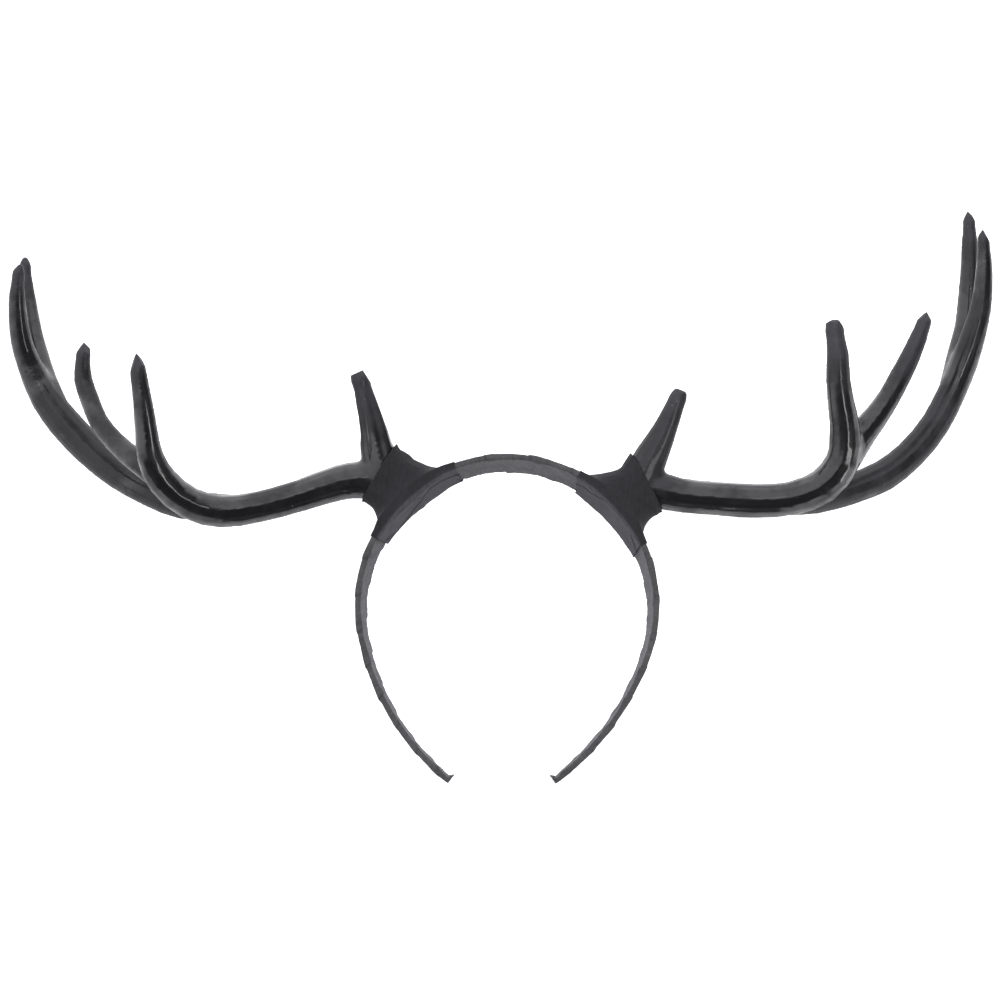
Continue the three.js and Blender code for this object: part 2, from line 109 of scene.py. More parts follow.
def lattice_value(cells, seed):
    mixed = cells[..., 0] * 73856093 ^ cells[..., 1] * 19349663 ^ cells[..., 2] * 83492791
    mixed = (mixed ^ seed * 2654435761) & 0xFFFFFFFF
    mixed = (mixed ^ (mixed >> 15)) * 2246822519 & 0xFFFFFFFF
    mixed = (mixed ^ (mixed >> 13)) * 3266489917 & 0xFFFFFFFF
    return (mixed ^ (mixed >> 16)) / 0xFFFFFFFF * 2 - 1


def lumps(points, size, seed):
    """Smooth random relief from -1 to 1, with lumps of about the given size."""
    scaled = np.asarray(points) / size
    cell = np.floor(scaled).astype(np.int64)
    part = scaled - cell
    part = part * part * (3 - 2 * part)
    total = np.zeros(len(scaled))
    for corner in range(8):
        offset = np.array([corner & 1, corner >> 1 & 1, corner >> 2 & 1])
        weight = np.prod(np.where(offset == 1, part, 1 - part), axis=1)
        total += weight * lattice_value(cell + offset, seed)
    return total


def hoop_line(along):
    """Places and outward directions of the hoop's front outer edge, at lengths from its top."""
    on_left = along < 0
    start = np.where(on_left, limbs["left"]["start"], limbs["right"]["start"])
    radius = np.where(on_left, limbs["left"]["radius"], limbs["right"]["radius"])
    travel = np.abs(along)
    on_crown = np.minimum(travel / crown_radius, start)
    turn = on_crown + np.maximum(travel - crown_radius * start, 0) / radius
    x = crown_radius * np.sin(on_crown) + radius * (np.sin(turn) - np.sin(on_crown))
    z = crown_radius * (np.cos(on_crown) - 1) + radius * (np.cos(turn) - np.cos(on_crown))
    side = np.where(on_left, -1.0, 1.0)
    return side * x, z, side * np.sin(turn), np.cos(turn)


def section_columns(width, thickness):
    """Across, height and their outward directions at each column round the strap, from the
    rear of its inner face to the front, over the front edge and back along the outer face."""
    run = np.linspace(1, 0, face_columns)
    bend = np.radians(np.linspace(-90, 90, edge_columns + 2)[1:-1])
    power = 2 / strap_edge_squareness
    half = thickness[:, None] / 2
    flat = width[:, None] - 2 * half
    bulge = half * np.abs(np.cos(bend)) ** power
    lift = half * np.sign(np.sin(bend)) * np.abs(np.sin(bend)) ** power
    forward = half + flat * run
    backward = half + flat * run[::-1]
    across = np.hstack([forward, half - bulge, backward, half + flat + bulge])
    level = np.zeros_like(forward)
    height = np.hstack([level - 2 * half, lift - half, level, -lift - half])
    ones = np.ones(face_columns)
    zeros = np.zeros(face_columns)
    out_across = np.hstack([zeros, -np.cos(bend), zeros, np.cos(bend)])
    out_height = np.hstack([-ones, np.sin(bend), ones, -np.sin(bend)])
    return across, height, out_across, out_height


def turns_from_top(along, ends):
    """Turns of tape between the top and each place, more closely wound towards the tips."""
    gain = turn_pitch_crown - turn_pitch_tip
    pitch = turn_pitch_crown - gain * np.abs(along) / ends
    return np.sign(along) * ends / gain * np.log(turn_pitch_crown / pitch)


def wound_hoop():
    """The hoop's skin as rows of points, with each point's place along and round the strap and
    how near it is to an edge of the tape."""
    ends = {name: crown_radius * limb["start"] + limb["length"] for name, limb in limbs.items()}
    count = round((ends["left"] + ends["right"]) / step_along)
    along = np.linspace(-ends["left"], ends["right"], count)
    end = np.where(along < 0, ends["left"], ends["right"])
    travel = np.abs(along)
    taper = smooth_ramp(travel, strap_taper_start, end)
    width = strap_width_crown + (strap_width_tip - strap_width_crown) * taper
    from_end = end - travel
    unpinched = smooth_ramp(from_end, tip_spread_length, tip_pinch_length)
    pinched = tip_pinch + (1 - tip_pinch) * unpinched
    thickness = tip_spread + (pinched - tip_spread) * smooth_ramp(from_end, 0, tip_spread_length)
    thickness = thickness * strap_thickness
    across, height, out_across, out_height = section_columns(width, thickness)

    lengths = np.hypot(np.diff(across, axis=1, append=across[:, :1]),
                       np.diff(height, axis=1, append=height[:, :1]))
    girth = lengths.sum(axis=1)[:, None]
    round_share = (np.cumsum(lengths, axis=1) - lengths) / girth
    front = face_columns + edge_columns // 2
    turns = turns_from_top(along, end)[:, None] + 0.5 + round_share
    turns = turns - round_share[:, front:front + 1]
    turn = np.floor(turns).astype(np.int64)
    within = turns - turn
    zero = np.zeros_like(turn)
    cells = np.stack([turn, zero, zero], axis=-1)
    strength = 1 + tape_unevenness * lattice_value(cells, seed=5)
    edge = smooth_ramp(within, 0, tape_edge_share)
    fall = 1 - smooth_ramp(within, tape_level_share, tape_overlap_share)
    layer = tape_step * strength * edge * fall

    pitch = turn_pitch_crown - (turn_pitch_crown - turn_pitch_tip) * (travel / end)[:, None]
    tape_across = turns * pitch
    tape_along = round_share * girth
    # The relief is drawn out along the tape and differs from turn to turn.
    tape = np.stack([tape_across, tape_along * 0.22, 0.004 * turn], axis=-1).reshape(-1, 3)
    gathers = lumps(tape, gather_size, seed=11) + 0.6 * lumps(tape, fine_gather_size, seed=12)
    tape_long = np.stack([tape_across, tape_along * 0.5, 0.009 * turn], axis=-1).reshape(-1, 3)
    creases = -np.abs(lumps(tape_long, crease_size, seed=13))
    inside = height < -0.5 * thickness[:, None]
    inner_face = outer_face_gathers + (1 - outer_face_gathers) * inside
    relief = gather_depth * gathers.reshape(layer.shape) * inner_face
    relief += crease_depth * creases.reshape(layer.shape)
    ease = smooth_ramp(from_end, 0, tip_calm_length)[:, None]
    lift = layer + relief * ease

    across = across + out_across * lift
    height = height + out_height * lift
    section = np.stack([across, height * 3.0, np.zeros_like(height)], axis=-1).reshape(-1, 3)
    fray = lumps(section, tip_fray_size, seed=21)
    outwards = np.sign(along)[:, None] * tip_fray * fray.reshape(across.shape)
    outwards = outwards * (1 - smooth_ramp(from_end, 0, tip_fray_length))[:, None]
    x, z, out_x, out_z = hoop_line(along)
    outward = height * math.cos(strap_flare) - across * math.sin(strap_flare)
    back = across * math.cos(strap_flare) + height * math.sin(strap_flare) - width[:, None] / 2
    shift_x = outwards * out_z[:, None]
    shift_z = -outwards * out_x[:, None]
    points = np.stack([
        x[:, None] + outward * out_x[:, None] + shift_x,
        back,
        z[:, None] + outward * out_z[:, None] + shift_z,
    ], axis=-1)
    tape_edge = np.exp(-(within / 0.018) ** 2) + np.exp(-((1 - within) / 0.010) ** 2)
    tape_places = np.stack(np.broadcast_arrays(along[:, None], tape_along), axis=-1)
    return points, tape_places, tape_edge


def grid_faces(rows, columns):
    first = np.arange((rows - 1) * columns).reshape(rows - 1, columns)
    following = np.roll(first, -1, axis=1)
    corners = [first, following, following + columns, first + columns]
    return np.stack(corners, axis=-1).reshape(-1, 4)


def new_piece(name, points, faces):
    mesh = bpy.data.meshes.new(name)
    mesh.from_pydata(points.tolist(), [], [list(face) for face in faces])
    mesh.update()
    mesh.shade_smooth()
    piece = bpy.data.objects.new(name, mesh)
    bpy.context.scene.collection.objects.link(piece)
    return piece


def keep_number(piece, name, values):
    attribute = piece.data.attributes.new(name, "FLOAT", "POINT")
    attribute.data.foreach_set("value", np.asarray(values, np.float32).ravel())


def keep_place(piece, name, domain, values):
    attribute = piece.data.attributes.new(name, "FLOAT_VECTOR", domain)
    attribute.data.foreach_set("vector", np.asarray(values, np.float32).ravel())


hoop_points, hoop_tape_places, hoop_tape_edges = wound_hoop()
rows, columns = hoop_points.shape[:2]
hoop_faces = grid_faces(rows, columns).tolist()
hoop_corners = hoop_points.reshape(-1, 3)
middles = hoop_points[[0, -1]].mean(axis=1)
hoop_corners = np.vstack([hoop_corners, middles])
last_row = (rows - 1) * columns
for column in range(columns):
    following = (column + 1) % columns
    hoop_faces.append([rows * columns, following, column])
    hoop_faces.append([rows * columns + 1, last_row + column, last_row + following])
headband = new_piece("wound_headband", laid(hoop_corners), hoop_faces)
keep_number(headband, "tape_edge", np.append(hoop_tape_edges.ravel(), [0, 0]))
# Painted sheen: the hoop's inner face is marked to be painted a little paler, as glancing light
# would make it.
inner_columns = np.tile(np.arange(columns) < face_columns, rows)
keep_number(headband, "painted_inner_sheen", np.append(inner_columns, [0, 0]))


def place_at_corners(mesh, places, shift):
    """Places along and round the strap at every face corner. The column that closes the ring,
    at the rear of the inner face, runs back from the last place to a little past 0, so the
    weave is squeezed in it."""
    rows, columns = places.shape[:2]
    corners = np.empty(len(mesh.loops), np.int64)
    mesh.loops.foreach_get("vertex_index", corners)
    spread = np.vstack([places.reshape(-1, 2), [[0, 0], [0, 0]]])[corners]
    column = corners % columns
    quads = (rows - 1) * columns * 4
    in_last = np.zeros(len(corners), bool)
    in_last[:quads] = np.repeat(np.tile(np.arange(columns), rows - 1) == columns - 1, 4)
    spread[in_last & (column == 0), 1] += shift
    return np.column_stack([spread, np.zeros(len(corners))])


hoop_weave_places = place_at_corners(headband.data, hoop_tape_places, seam_shift)
keep_place(headband, "tape_place", "CORNER", hoop_weave_places)


def new_node(tree, kind, **settings):
    node = tree.nodes.new("ShaderNode" + kind)
    for name, value in settings.items():
        setattr(node, name, value)
    return node


def join(tree, source, output, target, socket):
    tree.links.new(source.outputs[output], target.inputs[socket])


def new_group(name, sockets_in, sockets_out):
    group = bpy.data.node_groups.new(name, "ShaderNodeTree")
    for label, kind, value in sockets_in:
        socket = group.interface.new_socket(name=label, in_out="INPUT", socket_type=kind)
        if value is not None:
            socket.default_value = value
    for label, kind in sockets_out:
        group.interface.new_socket(name=label, in_out="OUTPUT", socket_type=kind)
    return group, group.nodes.new("NodeGroupInput"), group.nodes.new("NodeGroupOutput")


def cloth_weave():
    """Plain weave of cotton tape: threads over and under each other, with slubs."""
    group, given, result = new_group(
        "cloth_weave",
        [("Place", "NodeSocketVector", None), ("Threads", "NodeSocketFloat", 1100.0)],
        [("Height", "NodeSocketFloat"), ("Slubs", "NodeSocketFloat")],
    )
    scale = new_node(group, "VectorMath", operation="SCALE")
    join(group, given, "Place", scale, 0)
    join(group, given, "Threads", scale, "Scale")
    split = new_node(group, "SeparateXYZ")
    join(group, scale, "Vector", split, "Vector")
    waves = []
    for axis in ("X", "Y"):
        turn = new_node(group, "Math", operation="MULTIPLY")
        turn.inputs[1].default_value = 2 * math.pi
        join(group, split, axis, turn, 0)
        wave = new_node(group, "Math", operation="SINE")
        join(group, turn, "Value", wave, 0)
        waves.append(wave)
    product = new_node(group, "Math", operation="MULTIPLY")
    join(group, waves[0], "Value", product, 0)
    join(group, waves[1], "Value", product, 1)
    join(group, product, "Value", result, "Height")
    slubs = new_node(group, "TexNoise")
    slubs.inputs["Scale"].default_value = 900
    slubs.inputs["Detail"].default_value = 3
    stretch = new_node(group, "VectorMath", operation="MULTIPLY")
    stretch.inputs[1].default_value = (1, 0.18, 1)
    join(group, given, "Place", stretch, 0)
    join(group, stretch, "Vector", slubs, "Vector")
    join(group, slubs, "Fac", result, "Slubs")
    return group


weave_group = cloth_weave()


def cloth_tape(name, dark, light, sheen, edge_dark, painted_sheen_gain):
    """Matte charcoal cloth tape, darker at its edges, with a painted sheen that makes it paler on
    its inner faces.
    """
    material = bpy.data.materials.new(name)
    material.use_nodes = True
    tree = material.node_tree
    shader = tree.nodes["Principled BSDF"]
    shader.inputs["Roughness"].default_value = 0.82
    shader.inputs["Specular IOR Level"].default_value = 0.35
    shader.inputs["Sheen Weight"].default_value = sheen
    shader.inputs["Sheen Roughness"].default_value = 0.45
    shader.inputs["Sheen Tint"].default_value = (0.85, 0.83, 0.9, 1)

    place = new_node(tree, "Attribute", attribute_name="tape_place")
    weave = new_node(tree, "Group")
    weave.node_tree = weave_group
    weave.inputs["Threads"].default_value = 1300
    join(tree, place, "Vector", weave, "Place")

    where = new_node(tree, "TexCoord")
    patches = new_node(tree, "TexNoise")
    patches.inputs["Scale"].default_value = 95
    patches.inputs["Detail"].default_value = 5
    patches.inputs["Roughness"].default_value = 0.62
    join(tree, where, "Object", patches, "Vector")
    spread = new_node(tree, "MapRange")
    spread.inputs["From Min"].default_value = 0.32
    spread.inputs["From Max"].default_value = 0.72
    join(tree, patches, "Fac", spread, "Value")
    shade = new_node(tree, "Mix", data_type="RGBA")
    shade.inputs["A"].default_value = dark
    shade.inputs["B"].default_value = light
    join(tree, spread, "Result", shade, "Factor")

    slub_share = new_node(tree, "MapRange")
    slub_share.inputs["From Min"].default_value = 0.3
    slub_share.inputs["From Max"].default_value = 0.7
    slub_share.inputs["To Min"].default_value = 0.78
    slub_share.inputs["To Max"].default_value = 1.22
    join(tree, weave, "Slubs", slub_share, "Value")
    # Painted sheen: the inner faces are made paler in colour, standing in for light glancing off
    # the cloth.
    painted_inner_sheen = new_node(tree, "Attribute", attribute_name="painted_inner_sheen")
    paler = new_node(tree, "Math", operation="MULTIPLY_ADD")
    paler.inputs[1].default_value = painted_sheen_gain
    paler.inputs[2].default_value = 1
    join(tree, painted_inner_sheen, "Fac", paler, 0)
    strength = new_node(tree, "Math", operation="MULTIPLY")
    join(tree, slub_share, "Result", strength, 0)
    join(tree, paler, "Value", strength, 1)
    thread = new_node(tree, "VectorMath", operation="SCALE")
    join(tree, shade, "Result", thread, 0)
    join(tree, strength, "Value", thread, "Scale")

    edge = new_node(tree, "Attribute", attribute_name="tape_edge")
    darken = new_node(tree, "Mix", data_type="RGBA")
    darken.inputs["B"].default_value = edge_dark
    amount = new_node(tree, "Math", operation="MULTIPLY", use_clamp=True)
    amount.inputs[1].default_value = 0.75
    join(tree, edge, "Fac", amount, 0)
    join(tree, amount, "Value", darken, "Factor")
    join(tree, thread, "Vector", darken, "A")
    join(tree, darken, "Result", shader, "Base Color")

    fuzz = new_node(tree, "TexNoise")
    fuzz.inputs["Scale"].default_value = 2600
    fuzz.inputs["Detail"].default_value = 2
    join(tree, where, "Object", fuzz, "Vector")
    relief = new_node(tree, "Math", operation="MULTIPLY_ADD")
    relief.inputs[1].default_value = 0.6
    join(tree, fuzz, "Fac", relief, 0)
    join(tree, weave, "Height", relief, 2)
    bump = new_node(tree, "Bump")
    bump.inputs["Strength"].default_value = 0.5
    bump.inputs["Distance"].default_value = 0.00012
    join(tree, relief, "Value", bump, "Height")
    join(tree, bump, "Normal", shader, "Normal")
    return material


hoop_tape = cloth_tape(
    "hoop_tape",
    dark=(0.038, 0.038, 0.039, 1),
    light=(0.062, 0.062, 0.063, 1),
    sheen=0.22,
    edge_dark=(0.010, 0.010, 0.011, 1),
    # The painted sheen makes the hoop's inner face a little paler.
    painted_sheen_gain=0.12,
)
headband.data.materials.append(hoop_tape)
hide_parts("headband")
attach(headband, "root")

# Antlers: each is one moulded piece in glossy black plastic, painted and polished by hand. Its
# branches grow out of each other in soft crotches, the skin is uneven along them with flow
# marks, pits and specks, and the points are cut to facets and worn matt.
antler_voxel = 0.0006
antlers = {
    "left": {
        "crotches": {
            "brow": (-0.0640, 0.0, -0.0030, 0.012),
            "second": (-0.1600, -0.010, -0.0060, 0.012),
            "rear": (-0.2150, 0.024, 0.0330, 0.014),
            "outer": (-0.1400, 0.0, -0.0200, 0.010),
        },
        "points": {
            "brow": {
                "at": (-0.0687, -0.012, 0.0376), "worn": 0.034, "longer": 0.0003, "fuller": 0.25,
                "facets": [(0, 83, -0.0005), (180, 14, 0.0027), (90, 60, 0.0014)],
            },
            "front": {
                "at": (-0.1669, -0.034, 0.0411), "worn": 0.018, "longer": 0.0008, "fuller": 0.05,
                "facets": [(20, 24, 0), (110, 28, 0), (165, 28, 0), (280, 28, 0)],
            },
            "second": {
                "at": (-0.1954, -0.006, 0.0518), "worn": 0.034, "longer": 0.0012, "fuller": 0.3,
                "facets": [(0, 34, 0), (75, 32, 0), (150, 30, 0), (260, 34, 0)],
            },
            "outer": {
                "at": (-0.2276, 0.005, 0.0913), "worn": 0.020, "longer": 0.0008, "fuller": 0.35,
                "facets": [(10, 38, 0.0006), (100, 50, 0.0006), (190, 66, 0.0002)],
            },
            "rear": {
                "at": (-0.2308, 0.034, 0.1014), "worn": 0.036, "longer": 0.0010, "fuller": 0.4,
                "facets": [(30, 46, 0.0004), (110, 48, 0.0002), (200, 38, 0.0004)],
            },
        },
        "satin": [(-0.200, 0.024, 0.012, 0.038), (-0.150, 0.020, -0.022, 0.030)],
        "flutes": {
            "from": (-0.0560, -0.003, -0.0050), "to": (-0.0687, -0.012, 0.0376),
            "count": 5, "depth": 0.00060,
        },
    },
    "right": {
        "crotches": {
            "brow": (0.0790, 0.0, -0.0060, 0.012),
            "second": (0.1570, -0.012, 0.0050, 0.012),
            "rear": (0.2160, 0.024, 0.0450, 0.014),
            "outer": (0.1350, 0.0, -0.0180, 0.010),
        },
        "points": {
            "brow": {
                "at": (0.0796, -0.0112, 0.0288), "worn": 0.036, "longer": 0.0005, "fuller": 0.1,
                "facets": [(0, 52, 0.0013), (180, 52, 0.0015), (90, 50, 0.0010)],
            },
            "front": {
                "at": (0.1474, -0.0348, 0.0566), "worn": 0.034, "longer": 0.0005, "fuller": 0.25,
                "facets": [(10, 64, 0.0006), (90, 54, 0.0010), (180, 34, 0.0012)],
            },
            "second": {
                "at": (0.1933, -0.008, 0.0653), "worn": 0.040, "longer": 0.0014, "fuller": 0.3,
                "facets": [(20, 30, 0), (90, 36, 0), (170, 44, 0), (270, 36, 0)],
            },
            "outer": {
                "at": (0.2229, 0.004, 0.1076), "worn": 0.012, "longer": 0.0014, "fuller": 0.55,
                "facets": [(0, 40, 0), (80, 38, 0), (170, 26, 0), (270, 36, 0)],
            },
            "rear": {
                "at": (0.2215, 0.0332, 0.1235), "worn": 0.028, "longer": 0.0014, "fuller": 0.25,
                "facets": [(10, 30, 0), (95, 34, 0), (185, 32, 0), (275, 34, 0)],
            },
        },
        "satin": [
            (0.190, 0.024, 0.008, 0.042),
            (0.150, 0.020, -0.016, 0.026),
            (0.0700, -0.004, -0.002, 0.018),
        ],
        "flutes": {
            "from": (0.0640, -0.003, -0.0060), "to": (0.0796, -0.0112, 0.0288),
            "count": 3, "depth": 0.00014,
        },
    },
}
crotch_rounds = 170
facet_rounds = 45
smoothing = 0.6
swelling_back = -0.62
tip_length = 0.012
satin_share = 0.42
swell_depth = 0.00020
swell_size = 0.014
flow_depth = 0.00010
flow_size = 0.0034
ripple_depth = 0.00004
ripple_size = 0.0013
pit_count = 26
pit_depth = 0.00016
pit_radii = (0.0007, 0.0012)
speck_count = 34
speck_height = 0.00010
speck_radii = (0.0006, 0.0010)
flute_reach = (0.0085, 0.0105)
flute_wander_size = 0.015


class Skin:
    """An even quad mesh over a solid, with what is needed to smooth and move it."""

    def __init__(self, node, voxel):
        source = bpy.data.objects.new("source", node.data.copy())
        bpy.context.scene.collection.objects.link(source)
        remesh = source.modifiers.new("even", "REMESH")
        remesh.mode = "VOXEL"
        remesh.voxel_size = voxel
        evaluated = source.evaluated_get(bpy.context.evaluated_depsgraph_get())
        mesh = evaluated.to_mesh()
        self.points = np.empty(len(mesh.vertices) * 3)
        mesh.vertices.foreach_get("co", self.points)
        self.points = self.points.reshape(-1, 3)
        edges = np.empty(len(mesh.edges) * 2, np.int64)
        mesh.edges.foreach_get("vertices", edges)
        edges = edges.reshape(-1, 2)
        self.faces = np.array([face.vertices[:] for face in mesh.polygons])
        evaluated.to_mesh_clear()
        bpy.data.objects.remove(source)
        both = np.vstack([edges, edges[:, ::-1]])
        both = both[np.argsort(both[:, 0], kind="stable")]
        self.neighbours = both[:, 1]
        self.starts = np.searchsorted(both[:, 0], np.arange(len(self.points)))
        self.degree = np.bincount(both[:, 0], minlength=len(self.points))[:, None]

    def mean(self, values):
        return np.add.reduceat(values[self.neighbours], self.starts) / self.degree

    def normals(self):
        corners = self.points[self.faces]
        face = np.cross(corners[:, 2] - corners[:, 0], corners[:, 3] - corners[:, 1])
        total = np.zeros_like(self.points)
        for axis in range(3):
            spread = np.repeat(face[:, axis], 4)
            total[:, axis] = np.bincount(self.faces.ravel(), spread, len(self.points))
        return total / np.linalg.norm(total, axis=1)[:, None]

    def even_out(self, rounds):
        """Smooths small facets and swells back, so that nothing gets thinner."""
        for _ in range(rounds):
            for amount in (smoothing, swelling_back):
                self.points = self.points + amount * (self.mean(self.points) - self.points)

    def fill_creases(self, rounds, share):
        """Fills hollow creases as plastic does in a mould, and leaves round skin as it is."""
        for turn in range(rounds):
            if turn % 10 == 0:
                normals = self.normals()
            step = self.mean(self.points) - self.points
            outward = (step * normals).sum(axis=1)[:, None]
            along = step - outward * normals
            self.points = self.points + share[:, None] * (
                0.5 * along + 0.5 * normals * np.clip(outward, 0, None)
            )

    def lift(self, height):
        self.points = self.points + self.normals() * height[:, None]


def branch_directions(node, points):
    """The direction of the branch at each point: the one its skin's normals all avoid."""
    mesh = node.data
    centres = np.array([face.center[:] for face in mesh.polygons])
    normals = np.array([face.normal[:] for face in mesh.polygons])
    areas = np.array([face.area for face in mesh.polygons])
    near = 0.009
    at_once = 500
    directions = np.empty_like(centres)
    for start in range(0, len(centres), at_once):
        block = centres[start:start + at_once]
        gap = np.linalg.norm(block[:, None] - centres[None], axis=2)
        weight = np.exp(-(gap / near) ** 2) * areas
        spread = np.einsum("ij,jk,jl->ikl", weight, normals, normals)
        directions[start:start + at_once] = np.linalg.eigh(spread)[1][:, :, 0]
    tree = kdtree.KDTree(len(centres))
    for index, centre in enumerate(centres):
        tree.insert(centre, index)
    tree.balance()
    return directions[[tree.find(point)[1] for point in points]]


def flow_streaks(points, directions, size, seed):
    """Relief drawn out along the branches, as the plastic flowed."""
    total = np.zeros(len(points))
    for step in np.linspace(-1, 1, 9):
        total += lumps(points + directions * step * 4 * size, size, seed)
    return total / 4


def spots(points, count, smallest, largest, seed):
    """Round spots scattered over the skin: 1 at each one's middle and 0 beyond its edge."""
    picked = np.random.default_rng(seed)
    tree = kdtree.KDTree(len(points))
    for index, point in enumerate(points):
        tree.insert(point, index)
    tree.balance()
    amount = np.zeros(len(points))
    for _ in range(count):
        middle = points[picked.integers(len(points))]
        radius = picked.uniform(smallest, largest)
        for _, index, distance in tree.find_range(middle, radius):
            amount[index] = max(amount[index], (1 - (distance / radius) ** 2) ** 2)
    return amount


def cut_point(skin, point):
    """Cuts a branch's point to flat facets and returns how far each place is from its end.
    A facet has the turn of the side that it faces, from the left by way of the front, its
    slope to the branch, and how far it stays off the end's middle."""
    place = laid(np.array(point["at"]))
    distance = np.linalg.norm(skin.points - place, axis=1)
    root = skin.points[(distance > tip_length) & (distance < 1.5 * tip_length)].mean(axis=0)
    axis = (place - root) / np.linalg.norm(place - root)
    near = distance < tip_length
    to_place = skin.points - place
    off_axis = to_place - (to_place @ axis)[:, None] * axis
    nearness = 1 - smooth_ramp(distance, 0, tip_length)
    fuller = point["fuller"] * (1 - smooth_ramp(distance, 0.2 * tip_length, 0.8 * tip_length))
    skin.points = skin.points + fuller[:, None] * off_axis
    skin.points = skin.points + point["longer"] * nearness[:, None] * axis
    end = place + axis * ((skin.points[near] - place) @ axis).max()
    side = np.cross(axis, worn_axes[:, 1])
    side = side / np.linalg.norm(side)
    other = np.cross(axis, side)
    for turn_degrees, slope_degrees, off_middle in point["facets"]:
        turn = math.radians(turn_degrees)
        slope = math.radians(slope_degrees)
        radial = side * math.cos(turn) + other * math.sin(turn)
        normal = radial * math.cos(slope) + axis * math.sin(slope)
        proud = (skin.points - end) @ normal - off_middle
        over = near & (proud > 0)
        skin.points[over] -= proud[over, None] * normal
    return np.linalg.norm(skin.points - end, axis=1)


def flute_relief(points, **flutes):
    """Lengthwise flutes round a tine, fading out at its root and before its point."""
    low = laid(np.array(flutes["from"]))
    high = laid(np.array(flutes["to"]))
    length = np.linalg.norm(high - low)
    axis = (high - low) / length
    along = (points - low) @ axis
    off = points - low - along[:, None] * axis
    side = np.cross(axis, worn_axes[:, 1])
    other = np.cross(axis, side)
    angle = np.arctan2(off @ other, off @ side)
    near = 1 - smooth_ramp(np.linalg.norm(off, axis=1), *flute_reach)
    fade = smooth_ramp(along, 0, 0.3 * length)
    fade = fade * (1 - smooth_ramp(along, 0.6 * length, 0.92 * length))
    wander = 1.1 * lumps(points, flute_wander_size, seed=51)
    return flutes["depth"] * near * fade * np.cos(flutes["count"] * angle + wander)


def moulded_antler(name):
    node = nodes[name + "_antler"]
    skin = Skin(node, antler_voxel)
    skin.even_out(facet_rounds)
    crease = np.zeros(len(skin.points))
    for x, y, z, radius in antlers[name]["crotches"].values():
        gap = np.linalg.norm(skin.points - laid(np.array([x, y, z])), axis=1)
        crease = np.maximum(crease, 1 - smooth_ramp(gap, 0.6 * radius, 1.5 * radius))
    skin.fill_creases(crotch_rounds, crease)
    directions = branch_directions(node, skin.points)
    smooth = skin.points.copy()
    worn_share = np.zeros(len(skin.points))
    for point in antlers[name]["points"].values():
        from_end = cut_point(skin, point)
        worn_share = np.maximum(worn_share, 1 - np.clip(from_end / point["worn"], 0, 1))
    for x, y, z, radius in antlers[name]["satin"]:
        gap = np.linalg.norm(smooth - laid(np.array([x, y, z])), axis=1)
        satin = satin_share * (1 - smooth_ramp(gap, 0.6 * radius, radius))
        worn_share = np.maximum(worn_share, satin)
    skin.lift(swell_depth * lumps(smooth, swell_size, seed=31)
              + flute_relief(smooth, **antlers[name]["flutes"])
              + flow_depth * flow_streaks(smooth, directions, flow_size, seed=32)
              + ripple_depth * flow_streaks(smooth, directions, ripple_size, seed=33)
              - pit_depth * spots(smooth, pit_count, *pit_radii, seed=34)
              + speck_height * spots(smooth, speck_count, *speck_radii, seed=35))
    antler = new_piece("moulded_" + name + "_antler", skin.points, skin.faces)
    keep_number(antler, "worn_point", worn_share)
    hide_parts(name + "_antler")
    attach(antler, "root")
    return antler


def dust_flecks():
    """Sparse round flecks of dust: 1 on a fleck and 0 elsewhere."""
    group, given, result = new_group(
        "dust_flecks",
        [("Place", "NodeSocketVector", None), ("Fineness", "NodeSocketFloat", 420.0)],
        [("Flecks", "NodeSocketFloat")],
    )
    cells = new_node(group, "TexVoronoi")
    join(group, given, "Place", cells, "Vector")
    join(group, given, "Fineness", cells, "Scale")
    fleck = new_node(group, "MapRange")
    fleck.inputs["From Min"].default_value = 0.05
    fleck.inputs["From Max"].default_value = 0.12
    fleck.inputs["To Min"].default_value = 1
    fleck.inputs["To Max"].default_value = 0
    join(group, cells, "Distance", fleck, "Value")
    split = new_node(group, "SeparateColor")
    join(group, cells, "Color", split, "Color")
    rare = new_node(group, "Math", operation="GREATER_THAN")
    rare.inputs[1].default_value = 0.93
    join(group, split, "Red", rare, 0)
    both = new_node(group, "Math", operation="MULTIPLY")
    join(group, fleck, "Result", both, 0)
    join(group, rare, "Value", both, 1)
    join(group, both, "Value", result, "Flecks")
    return group


